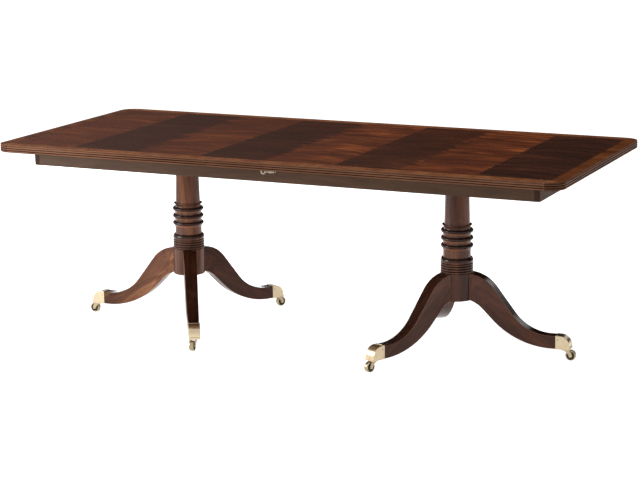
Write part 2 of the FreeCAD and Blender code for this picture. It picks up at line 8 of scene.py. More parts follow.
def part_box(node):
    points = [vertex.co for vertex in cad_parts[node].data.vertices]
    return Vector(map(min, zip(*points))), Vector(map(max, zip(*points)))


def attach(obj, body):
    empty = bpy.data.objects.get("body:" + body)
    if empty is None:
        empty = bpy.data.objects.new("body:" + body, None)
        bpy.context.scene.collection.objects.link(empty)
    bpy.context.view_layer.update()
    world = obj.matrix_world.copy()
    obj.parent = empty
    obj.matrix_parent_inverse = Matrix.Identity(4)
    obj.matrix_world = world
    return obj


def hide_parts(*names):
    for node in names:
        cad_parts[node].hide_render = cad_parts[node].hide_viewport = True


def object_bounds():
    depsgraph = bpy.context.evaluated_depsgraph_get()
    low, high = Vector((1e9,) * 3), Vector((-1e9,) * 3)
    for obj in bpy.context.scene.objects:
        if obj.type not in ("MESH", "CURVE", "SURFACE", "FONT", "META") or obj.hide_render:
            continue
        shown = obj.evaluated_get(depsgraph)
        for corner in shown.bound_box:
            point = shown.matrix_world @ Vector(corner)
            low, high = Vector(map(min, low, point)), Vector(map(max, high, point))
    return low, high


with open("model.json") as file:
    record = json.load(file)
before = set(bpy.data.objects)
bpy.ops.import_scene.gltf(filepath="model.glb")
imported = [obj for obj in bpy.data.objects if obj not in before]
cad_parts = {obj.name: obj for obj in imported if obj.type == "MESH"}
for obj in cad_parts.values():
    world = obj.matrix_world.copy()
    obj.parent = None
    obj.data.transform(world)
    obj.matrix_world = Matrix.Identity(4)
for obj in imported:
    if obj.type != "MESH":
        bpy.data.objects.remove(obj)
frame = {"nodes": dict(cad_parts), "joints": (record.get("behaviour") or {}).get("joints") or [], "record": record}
cad_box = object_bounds()


# Core panels. Each half of the top is a board of plain secondary wood, glued up and left raw
# underneath, where it shows between the aprons. Its edges are eased with a plane.
def put(tree, kind, inputs=None, **settings):
    """Adds a node, sets its options, and sets or links its inputs."""
    node = tree.nodes.new(kind)
    for name, value in settings.items():
        setattr(node, name, value)
    for key, value in (inputs or {}).items():
        if isinstance(value, bpy.types.NodeSocket):
            tree.links.new(value, node.inputs[key])
        else:
            node.inputs[key].default_value = value
    return node


def maths(tree, operation, first, second=0.0, third=0.0):
    """A Math node's result."""
    node = put(tree, "ShaderNodeMath", {0: first, 1: second, 2: third}, operation=operation)
    return node.outputs[0]


def colours(tree, value, stops):
    """Colours along a value, from (position, red, green, blue) stops."""
    node = put(tree, "ShaderNodeValToRGB", {"Fac": value})
    band = node.color_ramp
    while len(band.elements) < len(stops):
        band.elements.new(1.0)
    for element, stop in zip(band.elements, stops):
        element.position = stop[0]
        element.color = (*stop[1:], 1.0)
    return node.outputs["Color"]


def shaded(tree, factor, first, second, mode="MIX"):
    """Two colours mixed by a factor."""
    node = put(tree, "ShaderNodeMix", {0: factor, 6: first, 7: second}, data_type="RGBA", blend_type=mode)
    return node.outputs[2]


def span(tree, value, low, high, to_low=0.0, to_high=1.0):
    """A value stretched from one range to another and held at its ends."""
    node = put(tree, "ShaderNodeMapRange", {0: value, 1: low, 2: high, 3: to_low, 4: to_high})
    return node.outputs[0]


def new_group(name, inputs, outputs):
    """An empty shader group with named sockets, and its input and output nodes."""
    group = bpy.data.node_groups.new(name, "ShaderNodeTree")
    for socket, kind in inputs.items():
        group.interface.new_socket(socket, in_out="INPUT", socket_type=kind)
    for socket, kind in outputs.items():
        group.interface.new_socket(socket, in_out="OUTPUT", socket_type=kind)
    return group, put(group, "NodeGroupInput"), put(group, "NodeGroupOutput")


def noise(tree, vector, stretch, detail, roughness=0.55, distortion=0.0):
    """Noise stretched along the axes: stretch gives how many features fit in a metre."""
    scaled = put(tree, "ShaderNodeVectorMath", {0: vector, 1: stretch}, operation="MULTIPLY")
    node = put(tree, "ShaderNodeTexNoise", {
        "Vector": scaled.outputs[0], "Scale": 1.0, "Detail": detail, "Roughness": roughness,
        "Distortion": distortion})
    return node.outputs["Fac"]


wood_grain, grain_in, grain_out = new_group(
    "wood_grain", {"Grain": "NodeSocketVector"},
    {"Streaks": "NodeSocketFloat", "Fibres": "NodeSocketFloat", "Pores": "NodeSocketFloat"})
grain_line = grain_in.outputs["Grain"]
streaks = noise(wood_grain, grain_line, (2.4, 26.0, 26.0), detail=5.0, roughness=0.6, distortion=0.7)
wood_grain.links.new(streaks, grain_out.inputs["Streaks"])
fine_fibres = noise(wood_grain, grain_line, (12.0, 420.0, 420.0), detail=3.0)
wood_grain.links.new(fine_fibres, grain_out.inputs["Fibres"])
open_pores = noise(wood_grain, grain_line, (110.0, 1500.0, 1500.0), detail=1.0)
wood_grain.links.new(span(wood_grain, open_pores, 0.60, 0.72), grain_out.inputs["Pores"])


def new_material(name, **settings):
    """A material with its Principled shader, plain values set on the shader's own sockets."""
    material = bpy.data.materials.new(name)
    material.use_nodes = True
    shader = material.node_tree.nodes["Principled BSDF"]
    for socket, value in settings.items():
        shader.inputs[socket.replace("_", " ")].default_value = value
    return material, material.node_tree, shader


def object_place(tree):
    """Object coordinates, split into X, Y and Z."""
    return put(tree, "ShaderNodeSeparateXYZ", {0: put(tree, "ShaderNodeTexCoord").outputs["Object"]})


def grain_axes(tree, along):
    """Object coordinates turned so that X runs along the grain, which follows the given axis."""
    place = object_place(tree)
    order = {"X": "XYZ", "Y": "YXZ", "Z": "ZXY"}[along]
    axes = {index: place.outputs[axis] for index, axis in enumerate(order)}
    return put(tree, "ShaderNodeCombineXYZ", axes).outputs[0]


def grain_along(tree, line):
    """Streaks, fibres and pores of wood whose grain follows the X of a vector."""
    return put(tree, "ShaderNodeGroup", {"Grain": line}, node_tree=wood_grain)


def finish_wood(tree, shader, grain, colour, gloss, relief=0.00006):
    """Pores and fibres darken the colour, vary the gloss and stand in the surface."""
    pores = grain.outputs["Pores"]
    fibres = grain.outputs["Fibres"]
    fibre_shade = span(tree, fibres, 0.35, 0.75, 0.0, 0.35)
    lined = shaded(tree, fibre_shade, colour, (0.35, 0.3, 0.28, 1.0), "MULTIPLY")
    pore_shade = maths(tree, "MULTIPLY", pores, 0.45)
    pored = shaded(tree, pore_shade, lined, (0.22, 0.18, 0.16, 1.0), "MULTIPLY")
    tree.links.new(pored, shader.inputs["Base Color"])
    dulled = span(tree, fibres, 0.2, 0.8, gloss - 0.04, gloss + 0.06)
    tree.links.new(maths(tree, "MULTIPLY_ADD", pores, 0.12, dulled), shader.inputs["Roughness"])
    depth = maths(tree, "MULTIPLY_ADD", pores, -1.0, maths(tree, "MULTIPLY", fibres, -0.5))
    bump = put(tree, "ShaderNodeBump", {"Height": depth, "Strength": 0.5, "Distance": relief})
    tree.links.new(bump.outputs["Normal"], shader.inputs["Normal"])


def plain_wood(name, along, stops, gloss, **settings):
    """Straight-grained wood with its grain along one axis."""
    material, tree, shader = new_material(name, **settings)
    grain = grain_along(tree, grain_axes(tree, along))
    finish_wood(tree, shader, grain, colours(tree, grain.outputs["Streaks"], stops), gloss)
    return material


body_of = {node: body for body, nodes in frame["record"]["behaviour"]["bodies"].items() for node in nodes}


def settle_normals(mesh, within):
    """Smooths each corner with the faces round it that lie within an angle, the largest counting most."""
    facing = [(face.normal.copy(), face.area) for face in mesh.polygons]
    around = [[] for vertex in mesh.vertices]
    for face in mesh.polygons:
        for vertex in face.vertices:
            around[vertex].append(facing[face.index])
    limit = math.cos(math.radians(within))
    normals = []
    for face in mesh.polygons:
        own = facing[face.index][0]
        for vertex in face.vertices:
            total = Vector()
            for normal, area in around[vertex]:
                if normal.dot(own) > limit:
                    total += normal * area
            normals.append(total.normalized() if total.length else own)
    mesh.normals_split_custom_set(normals)


def dressed(node, material, ease=0.0, ease_angle=38.0):
    """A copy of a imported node, merged and smoothed, with its sharp edges eased, that stands for it."""
    weld_within = 2e-6
    flat_within = math.radians(0.4)
    smooth_when_eased = 50.0
    shape = bmesh.new()
    shape.from_mesh(frame["nodes"][node].data)
    bmesh.ops.remove_doubles(shape, verts=shape.verts, dist=weld_within)
    bmesh.ops.dissolve_limit(shape, angle_limit=flat_within, verts=shape.verts, edges=shape.edges)
    mesh = bpy.data.meshes.new(node + "_finish")
    shape.to_mesh(mesh)
    shape.free()
    mesh.shade_smooth()
    piece = bpy.data.objects.new(node + "_finish", mesh)
    bpy.context.scene.collection.objects.link(piece)
    if ease:
        bevel = piece.modifiers.new("ease", "BEVEL")
        bevel.width = ease
        bevel.segments = 2
        bevel.limit_method = "ANGLE"
        bevel.angle_limit = math.radians(ease_angle)
        eased = bpy.data.meshes.new_from_object(piece.evaluated_get(bpy.context.evaluated_depsgraph_get()))
        piece.modifiers.clear()
        piece.data = eased
    settle_normals(piece.data, smooth_when_eased if ease else ease_angle)
    piece.data.materials.clear()
    piece.data.materials.append(material)
    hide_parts(node)
    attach(piece, body_of[node])
    return piece


halves = ("left", "right")
core_board = plain_wood("raw_core_board", "X", [
    (0.30, 0.16, 0.088, 0.048), (0.50, 0.24, 0.14, 0.078), (0.72, 0.30, 0.185, 0.11)], gloss=0.62)
for half in halves:
    dressed(f"{half}_core_panel", core_board, ease=0.0006)


# Reeded edging. Solid mahogany lipping with three reeds worked along it by a moulding plane. The fillet
# above them is painted lighter, a painted highlight, and the grooves are painted dark, painted shade with
# old wax in them that also dulls their gloss. Each outer corner is a short darker piece, let in between
# two joints that show as fine lines.
half_length = cad_box[1][0]
half_width = cad_box[1][1]
corner_radius = 0.060
reed_depth = 0.003
fillet_height = 0.0048
seam_half = 0.0004
seam_fade = 0.0011


def chosen(tree, factor, first, second):
    """Two values mixed by a factor."""
    return put(tree, "ShaderNodeMix", {0: factor, 2: first, 3: second}).outputs[0]


def tinted(tree, colour, layers):
    """A colour with (mask, share, tint, blend mode) layers laid over it in turn."""
    for mask, share, tint, mode in layers:
        colour = shaded(tree, maths(tree, "MULTIPLY", mask, share), colour, tint, mode)
    return colour


edge_map, edge_in, edge_out = new_group("edge_map", {"Place": "NodeSocketVector"}, {
    "Depth": "NodeSocketFloat", "Corner": "NodeSocketFloat", "Seam": "NodeSocketFloat",
    "Grain": "NodeSocketVector"})
edge_place = put(edge_map, "ShaderNodeSeparateXYZ", {0: edge_in.outputs["Place"]})
over = []
for axis, reach in (("X", half_length), ("Y", half_width)):
    away = maths(edge_map, "ABSOLUTE", edge_place.outputs[axis])
    over.append(maths(edge_map, "SUBTRACT", away, reach - corner_radius))
outside = [maths(edge_map, "MAXIMUM", value, 0.0) for value in over]
outside_squared = maths(edge_map, "MULTIPLY", outside[1], outside[1])
arc = maths(edge_map, "SQRT", maths(edge_map, "MULTIPLY_ADD", outside[0], outside[0], outside_squared))
inside = maths(edge_map, "MINIMUM", maths(edge_map, "MAXIMUM", over[0], over[1]), 0.0)
edge_depth = maths(edge_map, "SUBTRACT", corner_radius, maths(edge_map, "ADD", arc, inside))
edge_map.links.new(edge_depth, edge_out.inputs["Depth"])
into_corner = maths(edge_map, "MINIMUM", over[0], over[1])
at_corner = maths(edge_map, "GREATER_THAN", into_corner, 0.0)
edge_map.links.new(at_corner, edge_out.inputs["Corner"])
from_joint = maths(edge_map, "ABSOLUTE", into_corner)
edge_map.links.new(span(edge_map, from_joint, seam_half, seam_fade, 1.0, 0.0), edge_out.inputs["Seam"])
along_end = maths(edge_map, "GREATER_THAN", over[0], over[1])
edge_along = chosen(edge_map, along_end, edge_place.outputs["X"], edge_place.outputs["Y"])
edge_seed = maths(edge_map, "MULTIPLY_ADD", along_end, 3.0, at_corner)
edge_line = put(edge_map, "ShaderNodeCombineXYZ", {
    0: edge_along, 1: edge_place.outputs["Z"], 2: edge_seed}).outputs[0]
edge_map.links.new(edge_line, edge_out.inputs["Grain"])

edging, edging_tree, edging_shader = new_material("reeded_mahogany")
edging_place = put(edging_tree, "ShaderNodeTexCoord").outputs["Object"]
edging_run = put(edging_tree, "ShaderNodeGroup", {"Place": edging_place}, node_tree=edge_map)
edging_grain = grain_along(edging_tree, edging_run.outputs["Grain"])
edging_depth = edging_run.outputs["Depth"]
edging_height = put(edging_tree, "ShaderNodeSeparateXYZ", {0: edging_place}).outputs["Z"]
groove = span(edging_tree, edging_depth, 0.08 * reed_depth, 0.60 * reed_depth)
fillet_highlight = maths(edging_tree, "GREATER_THAN", edging_height, cad_box[1][2] - fillet_height)
# Layers: painted shade in the grooves, a painted highlight on the fillet, then the corner pieces and seams.
edging_colour = tinted(edging_tree, colours(edging_tree, edging_grain.outputs["Streaks"], [
    (0.30, 0.120, 0.050, 0.027), (0.50, 0.18, 0.080, 0.044), (0.72, 0.26, 0.122, 0.068)]), (
    (groove, 1.0, (0.05, 0.04, 0.035, 1.0), "MULTIPLY"),
    (fillet_highlight, 0.5, (0.25, 0.120, 0.066, 1.0), "MIX"),
    (edging_run.outputs["Corner"], 0.55, (0.42, 0.34, 0.30, 1.0), "MULTIPLY"),
    (edging_run.outputs["Seam"], 0.6, (0.30, 0.20, 0.13, 1.0), "MIX")))
edging_polish = span(edging_tree, edging_depth, 0.03 * reed_depth, 0.30 * reed_depth, 0.08, 0.0)
edging_tree.links.new(edging_polish, edging_shader.inputs["Specular IOR Level"])
finish_wood(edging_tree, edging_shader, edging_grain, edging_colour, gloss=0.30)
for half in halves:
    dressed(f"{half}_reeded_edge", edging, ease=0.0004, ease_angle=50.0)


# Flame veneers. Each half of the top has four leaves of crotch mahogany, painted light and dark in turn,
# lit and shaded copies of one wood, calmer in the left half. Each leaf has a painted sheen in patches on
# its plumes. At the right side of each dark leaf the two figures run into each other in tongues, and at
# its left side the joint is a straight line. The last leaf on the right is the darkest.
leaves_per_half = 4
joint_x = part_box("right_light_veneers")[0].x
leaf_width = (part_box("right_dark_veneers")[1].x - joint_x) / leaves_per_half

flame, flame_in, flame_out = new_group("flame_figure", {"Place": "NodeSocketVector"}, {
    "Plume": "NodeSocketFloat", "Glow": "NodeSocketFloat", "Tongue": "NodeSocketFloat",
    "Left": "NodeSocketFloat", "Right": "NodeSocketFloat", "Lively": "NodeSocketFloat",
    "Last": "NodeSocketFloat", "Grain": "NodeSocketVector"})
flame_place = put(flame, "ShaderNodeSeparateXYZ", {0: flame_in.outputs["Place"]})
leaf_step = maths(flame, "DIVIDE", flame_place.outputs["X"], leaf_width)
leaf_index = maths(flame, "FLOOR", leaf_step)
leaf_across = maths(flame, "MULTIPLY", maths(flame, "SUBTRACT", leaf_step, leaf_index), leaf_width)
# The distances to a leaf's joints are a metre longer where it has no neighbour to reach into it.
first_leaf = maths(flame, "LESS_THAN", leaf_index, 0.5 - leaves_per_half)
last_leaf = maths(flame, "GREATER_THAN", leaf_index, leaves_per_half - 1.5)
flame.links.new(maths(flame, "ADD", leaf_across, first_leaf), flame_out.inputs["Left"])
right_side = maths(flame, "ADD", last_leaf, leaf_width)
flame.links.new(maths(flame, "SUBTRACT", right_side, leaf_across), flame_out.inputs["Right"])
flame.links.new(last_leaf, flame_out.inputs["Last"])
flame.links.new(span(flame, leaf_index, -1.0, 0.0, 0.5, 1.0), flame_out.inputs["Lively"])
from_axis = maths(flame, "SUBTRACT", leaf_across, leaf_width / 2)
wander = noise(flame, flame_in.outputs["Place"], (3.0, 3.0, 3.0), detail=2.0)
drift = maths(flame, "MULTIPLY", maths(flame, "SUBTRACT", wander, 0.5), 0.16)
plume_bend = maths(flame, "MULTIPLY", from_axis, from_axis)
along_plume = maths(flame, "ADD", maths(flame, "ADD", flame_place.outputs["Y"], plume_bend), drift)
leaf_seed = maths(flame, "MULTIPLY", leaf_index, 7.3)
plume_line = put(flame, "ShaderNodeCombineXYZ", {0: from_axis, 1: along_plume, 2: leaf_seed}).outputs[0]
plume = noise(flame, plume_line, (3.4, 30.0, 1.0), detail=6.0, roughness=0.62, distortion=0.5)
plume_glow = noise(flame, plume_line, (4.0, 6.0, 1.0), detail=3.0, roughness=0.5, distortion=0.3)
tongue = noise(flame, flame_in.outputs["Place"], (3.0, 36.0, 1.0), detail=4.0)
flame.links.new(plume, flame_out.inputs["Plume"])
flame.links.new(plume_glow, flame_out.inputs["Glow"])
flame.links.new(span(flame, tongue, 0.3, 0.7, -1.0, 1.0), flame_out.inputs["Tongue"])
flame.links.new(plume_line, flame_out.inputs["Grain"])


def flame_colour(tree, figure, stops, glow):
    """One leaf's colour, with a painted sheen in patches where its plumes would catch the light."""
    lively = figure.outputs["Lively"]
    broad = maths(tree, "MULTIPLY", figure.outputs["Glow"], 0.3)
    mixed = maths(tree, "MULTIPLY_ADD", figure.outputs["Plume"], 0.7, broad)
    level = span(tree, lively, 0.5, 1.0, 0.464, 0.49)
    mixed = maths(tree, "MULTIPLY_ADD", maths(tree, "SUBTRACT", mixed, 0.49), lively, level)
    # The lit patches are a painted sheen.
    lit = maths(tree, "MULTIPLY", span(tree, figure.outputs["Glow"], 0.50, 0.68),
                span(tree, figure.outputs["Plume"], 0.47, 0.62))
    lit = maths(tree, "MULTIPLY", lit, maths(tree, "MULTIPLY", lively, lively))
    return shaded(tree, lit, colours(tree, mixed, stops), glow)


def flame_veneer(name, own, neighbour, side, reach, fade=0.014):
    """Polished flame mahogany. The neighbour's figure reaches in from one of the leaf's joints."""
    material, tree, shader = new_material(name, Specular_IOR_Level=0.25)
    figure = put(tree, "ShaderNodeGroup", {
        "Place": put(tree, "ShaderNodeTexCoord").outputs["Object"]}, node_tree=flame)
    grain = grain_along(tree, figure.outputs["Grain"])
    tongue_reach = maths(tree, "MULTIPLY", figure.outputs["Tongue"], reach)
    within = maths(tree, "SUBTRACT", tongue_reach, figure.outputs[side])
    colour = shaded(tree, span(tree, within, -fade, fade),
                    flame_colour(tree, figure, *own), flame_colour(tree, figure, *neighbour))
    colour = shaded(tree, figure.outputs["Last"], colour, (0.74, 0.78, 0.88, 1.0), "MULTIPLY")
    finish_wood(tree, shader, grain, colour, gloss=0.25, relief=0.00003)
    return material


lit_leaf_figure = ([
    (0.34, 0.044, 0.0125, 0.0060), (0.47, 0.094, 0.0250, 0.0098), (0.56, 0.148, 0.0390, 0.0135),
    (0.68, 0.25, 0.065, 0.019)], (0.36, 0.098, 0.024, 1.0))
shaded_leaf_figure = ([
    (0.34, 0.028, 0.0092, 0.0050), (0.50, 0.052, 0.0165, 0.0080), (0.68, 0.084, 0.0250, 0.0110)],
    (0.105, 0.032, 0.0125, 1.0))
# The light and dark veneers are lit and shaded copies of one wood: painted light and painted shade.
light_veneer = flame_veneer("light_flame_veneer", lit_leaf_figure, shaded_leaf_figure, "Left", reach=-0.030)
dark_veneer = flame_veneer("dark_flame_veneer", shaded_leaf_figure, lit_leaf_figure, "Right", reach=0.030)
for half in halves:
    dressed(f"{half}_light_veneers", light_veneer)
    dressed(f"{half}_dark_veneers", dark_veneer)


# Crossbanding. Short lengths of mahogany veneer laid round the field with the grain pointing to
# the edge, mitred at the corners, so that the colour changes from one length to the next. The long
# sides are painted paler and greyer than the ends, a painted highlight, and the inner rim is stained
# by the field.
band_width = half_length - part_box("right_dark_veneers")[1].x
rim_start = 0.002
rim_end = 0.008
crossband, band_tree, band_shader = new_material("crossband_mahogany", Specular_IOR_Level=0.25)
band_place = object_place(band_tree)
past_field = []
for axis, reach in (("X", half_length), ("Y", half_width)):
    away = maths(band_tree, "ABSOLUTE", band_place.outputs[axis])
    past_field.append(maths(band_tree, "SUBTRACT", away, reach - band_width))
at_end = maths(band_tree, "GREATER_THAN", past_field[0], past_field[1])
grain_run = chosen(band_tree, at_end, band_place.outputs["Y"], band_place.outputs["X"])
edge_run = chosen(band_tree, at_end, band_place.outputs["X"], band_place.outputs["Y"])
band_seed = maths(band_tree, "MULTIPLY", at_end, 5.0)
band_line = put(band_tree, "ShaderNodeCombineXYZ", {0: grain_run, 1: edge_run, 2: band_seed}).outputs[0]
band_noise = noise(band_tree, band_line, (3.0, 16.0, 1.0), detail=4.0, roughness=0.6, distortion=0.4)
band_contrast = span(band_tree, at_end, 0.0, 1.0, 0.5, 0.75)
band_figure = maths(
    band_tree, "MULTIPLY_ADD", maths(band_tree, "SUBTRACT", band_noise, 0.5), band_contrast, 0.5)
# The long sides get a painted highlight, paler and greyer; the ends are darker.
side_highlight_end_tint = shaded(band_tree, at_end, (1.25, 1.42, 1.95, 1.0), (0.76, 0.73, 0.72, 1.0))
from_field = maths(band_tree, "MAXIMUM", past_field[0], past_field[1])
rim_stain = span(band_tree, from_field, rim_start, rim_end, 0.75, 0.0)
band_colour = colours(band_tree, band_figure, [
    (0.32, 0.060, 0.017, 0.0065), (0.48, 0.150, 0.044, 0.0120), (0.66, 0.25, 0.085, 0.024)])
band_colour = shaded(band_tree, 1.0, band_colour, side_highlight_end_tint, "MULTIPLY")
band_colour = shaded(band_tree, rim_stain, band_colour, (0.30, 0.26, 0.28, 1.0), "MULTIPLY")
finish_wood(
    band_tree, band_shader, grain_along(band_tree, band_line), band_colour, gloss=0.25, relief=0.00003)
for half in halves:
    dressed(f"{half}_crossband", crossband, ease=0.0003)


# Aprons. Plain mahogany rails under the top. The end rail runs through to the front and back, so
# that its end grain shows as a slightly darker strip at each corner.
apron_stops = [(0.30, 0.052, 0.0240, 0.0115), (0.50, 0.076, 0.0365, 0.0178), (0.72, 0.104, 0.052, 0.0270)]
side_apron_wood = plain_wood("apron_mahogany", "X", apron_stops, gloss=0.36, Specular_IOR_Level=0.22)
end_apron_wood, end_tree, end_shader = new_material("end_apron_mahogany", Specular_IOR_Level=0.06)
end_grain = grain_along(end_tree, grain_axes(end_tree, "Y"))
apron_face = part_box("right_end_apron")[1].y
strip_start = 0.0012
strip_full = 0.0004
to_face = maths(end_tree, "ABSOLUTE", object_place(end_tree).outputs["Y"])
cut_end = span(end_tree, to_face, apron_face - strip_start, apron_face - strip_full)
end_colour = colours(end_tree, end_grain.outputs["Streaks"], apron_stops)
end_colour = shaded(end_tree, cut_end, end_colour, (0.055, 0.027, 0.018, 1.0))
finish_wood(end_tree, end_shader, end_grain, end_colour, gloss=0.36)
for half in halves:
    dressed(f"{half}_front_apron", side_apron_wood, ease=0.0006)
    dressed(f"{half}_back_apron", side_apron_wood, ease=0.0006)
    dressed(f"{half}_end_apron", end_apron_wood, ease=0.0006)


# Underframe. Joint rails, corner blocks and pedestal blocks of plain wood, sawn and planed but
# not polished, glued and screwed to the underside of the core.
rail_wood = plain_wood("underframe_wood", "Y", [
    (0.30, 0.11, 0.055, 0.028), (0.50, 0.17, 0.088, 0.046), (0.72, 0.22, 0.12, 0.066)], gloss=0.60)
for half in halves:
    for piece in ("joint_rail", "corner_blocks", "pedestal_block"):
        dressed(f"{half}_{piece}", rail_wood, ease=0.0008)


# Slides and dowels. Waxed beech runners and telescoping slides under the top, and the dowels that
# line up the two halves. They are paler and smoother than the rest of the underframe.
beech = plain_wood("waxed_beech", "X", [
    (0.30, 0.27, 0.16, 0.082), (0.50, 0.36, 0.225, 0.12), (0.72, 0.44, 0.285, 0.165)], gloss=0.42)
for piece in ("left_slide_runners", "right_slide_runners", "middle_slides"):
    dressed(piece, beech, ease=0.0006)
dressed("joint_dowels", beech)


# Pedestal columns. Turned from one upright length of mahogany, with three bead rings, a reeded collar and
# a plain drum. The beads above their undersides, the top of the torus and the collar's grooves are painted
# near black, painted shade. Just below each bead the shaft has a painted orange light. The drums are
# painted darker, painted shade, the right one most, and the right foot is painted darker than the left.
pedestal_x = (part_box("right_column")[0].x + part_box("right_column")[1].x) / 2
bead_count = 3
lowest_bead = 0.400
bead_pitch = 0.0285
bead_height = 0.0135
collar_low = 0.305
collar_high = 0.343
collar_reed = 0.0095
neck_low = 0.363


def between(tree, value, low, high):
    """One where a value lies between two others, and zero elsewhere."""
    return maths(tree, "MULTIPLY", maths(tree, "GREATER_THAN", value, low),
                 maths(tree, "LESS_THAN", value, high))


column_wood, column_tree, column_shader = new_material("column_mahogany", Specular_IOR_Level=0.25)
column_grain = grain_along(column_tree, grain_axes(column_tree, "Z"))
column_place = object_place(column_tree)
column_z = column_place.outputs["Z"]
on_right = maths(column_tree, "GREATER_THAN", column_place.outputs["X"], 0.0)
from_bead = maths(column_tree, "SUBTRACT", column_z, lowest_bead)
bead_turn = maths(column_tree, "FRACT", maths(column_tree, "DIVIDE", from_bead, bead_pitch))
bead_step = maths(column_tree, "MULTIPLY", bead_turn, bead_pitch)
on_beads = between(column_tree, column_z, lowest_bead, lowest_bead + bead_count * bead_pitch)
bead_rise = span(column_tree, bead_step, 0.05 * bead_height, 0.22 * bead_height)
bead_fall = span(column_tree, bead_step, bead_height - 0.0005, bead_height + 0.0015, 1.0, 0.0)
bead_top = maths(column_tree, "MULTIPLY", maths(column_tree, "MULTIPLY", bead_rise, bead_fall), on_beads)
near_beads = between(
    column_tree, column_z, lowest_bead - 0.008, lowest_bead + (bead_count - 0.5) * bead_pitch)
bead_foot = span(column_tree, bead_step, bead_pitch - 0.0070, bead_pitch - 0.0045)
painted_light_under_bead = maths(column_tree, "MULTIPLY", bead_foot, near_beads)
in_collar = between(column_tree, column_z, collar_low, collar_high)
from_collar = maths(column_tree, "SUBTRACT", column_z, collar_low)
reed_step = maths(column_tree, "FRACT", maths(column_tree, "DIVIDE", from_collar, collar_reed))
from_crest = maths(column_tree, "ABSOLUTE", maths(column_tree, "SUBTRACT", reed_step, 0.5))
reed_groove = maths(column_tree, "MULTIPLY", span(column_tree, from_crest, 0.22, 0.36), in_collar)
torus_rise = span(column_tree, column_z, collar_high + 0.004, collar_high + 0.008)
torus_fall = span(column_tree, column_z, neck_low, neck_low + 0.002, 1.0, 0.0)
torus_top = maths(column_tree, "MULTIPLY", torus_rise, torus_fall)
painted_bead_shade = maths(column_tree, "MAXIMUM", bead_top, maths(column_tree, "MAXIMUM", torus_top, reed_groove))
in_drum = maths(column_tree, "LESS_THAN", column_z, collar_low)
painted_drum_shade = shaded(column_tree, on_right, (0.92, 0.84, 0.75, 1.0), (0.58, 0.40, 0.25, 1.0))
right_foot_shade = maths(
    column_tree, "MULTIPLY", on_right, maths(column_tree, "LESS_THAN", column_z, lowest_bead))
# Painted light under each bead; painted shade on the drums, the right foot, bead tops, torus top and grooves.
column_colour = tinted(column_tree, colours(column_tree, column_grain.outputs["Streaks"], [
    (0.30, 0.043, 0.0134, 0.0066), (0.46, 0.107, 0.0368, 0.0170), (0.58, 0.177, 0.0640, 0.0293),
    (0.74, 0.278, 0.107, 0.0490)]), (
    (painted_light_under_bead, 0.65, (0.36, 0.132, 0.050, 1.0), "MIX"),
    (in_drum, 1.0, painted_drum_shade, "MULTIPLY"),
    (on_beads, 1.0, (0.78, 0.80, 0.80, 1.0), "MULTIPLY"),
    (in_collar, 1.0, (0.75, 0.74, 0.74, 1.0), "MULTIPLY"),
    (right_foot_shade, 1.0, (0.74, 0.72, 0.70, 1.0), "MULTIPLY"),
    (painted_bead_shade, 0.85, (0.12, 0.09, 0.085, 1.0), "MULTIPLY")))
finish_wood(column_tree, column_shader, column_grain, column_colour, gloss=0.18)
for half in halves:
    dressed(f"{half}_column", column_wood, ease=0.0004)


# Sabre legs. Sawn from solid mahogany with the grain running down the sweep, dovetailed into the
# drum. The upper faces are painted dark, painted shade, the toes are darker, and the arrises are
# painted paler, a painted highlight. On the left pedestal the outer leg is a paler copy of the wood
# with livelier figure, painted light, and the back one a darker copy, painted shade.
leg_slope = math.radians(33.0)
toe_dark_start = 0.14
toe_dark_full = 0.38
narrow_face = 0.00138


def leg_mahogany(name, stops, toe_darkening):
    """Mahogany with its grain along a leg, whichever way the leg points from its column."""
    material, tree, shader = new_material(name, Specular_IOR_Level=0.20)
    place = object_place(tree)
    outward = maths(tree, "SUBTRACT", maths(tree, "ABSOLUTE", place.outputs["X"]), pedestal_x)
    aside_squared = maths(tree, "MULTIPLY", place.outputs["Y"], place.outputs["Y"])
    reach = maths(tree, "SQRT", maths(tree, "MULTIPLY_ADD", outward, outward, aside_squared))
    turn = maths(tree, "ARCTAN2", place.outputs["Y"], outward)
    fall = maths(tree, "MULTIPLY", place.outputs["Z"], -math.sin(leg_slope))
    down = maths(tree, "MULTIPLY_ADD", reach, math.cos(leg_slope), fall)
    rise = maths(tree, "MULTIPLY", place.outputs["Z"], math.cos(leg_slope))
    up = maths(tree, "MULTIPLY_ADD", reach, math.sin(leg_slope), rise)
    leg_seed = maths(tree, "MULTIPLY_ADD", turn, 0.2, maths(tree, "SIGN", place.outputs["X"]))
    grain = grain_along(tree, put(tree, "ShaderNodeCombineXYZ", {0: down, 1: up, 2: leg_seed}).outputs[0])
    facing = put(tree, "ShaderNodeNewGeometry").outputs["True Normal"]
    facing_up = put(tree, "ShaderNodeSeparateXYZ", {0: facing}).outputs["Z"]
    painted_edge_highlight = put(tree, "ShaderNodeAttribute", attribute_name="arris").outputs["Fac"]
    # Painted shade on the upper faces, darker toes, and a painted highlight on the narrow arris faces.
    colour = tinted(tree, colours(tree, grain.outputs["Streaks"], stops), (
        (span(tree, facing_up, 0.22, 0.55), 0.85, (0.25, 0.22, 0.22, 1.0), "MULTIPLY"),
        (span(tree, reach, toe_dark_start, toe_dark_full), toe_darkening, (0.30, 0.28, 0.28, 1.0), "MULTIPLY"),
        (painted_edge_highlight, 0.7, (0.24, 0.125, 0.085, 1.0), "MIX")))
    finish_wood(tree, shader, grain, colour, gloss=0.18)
    return material


leg_wood = leg_mahogany("leg_mahogany", [
    (0.30, 0.044, 0.0138, 0.0068), (0.50, 0.088, 0.0285, 0.0136), (0.72, 0.150, 0.0520, 0.0240)],
    toe_darkening=0.45)
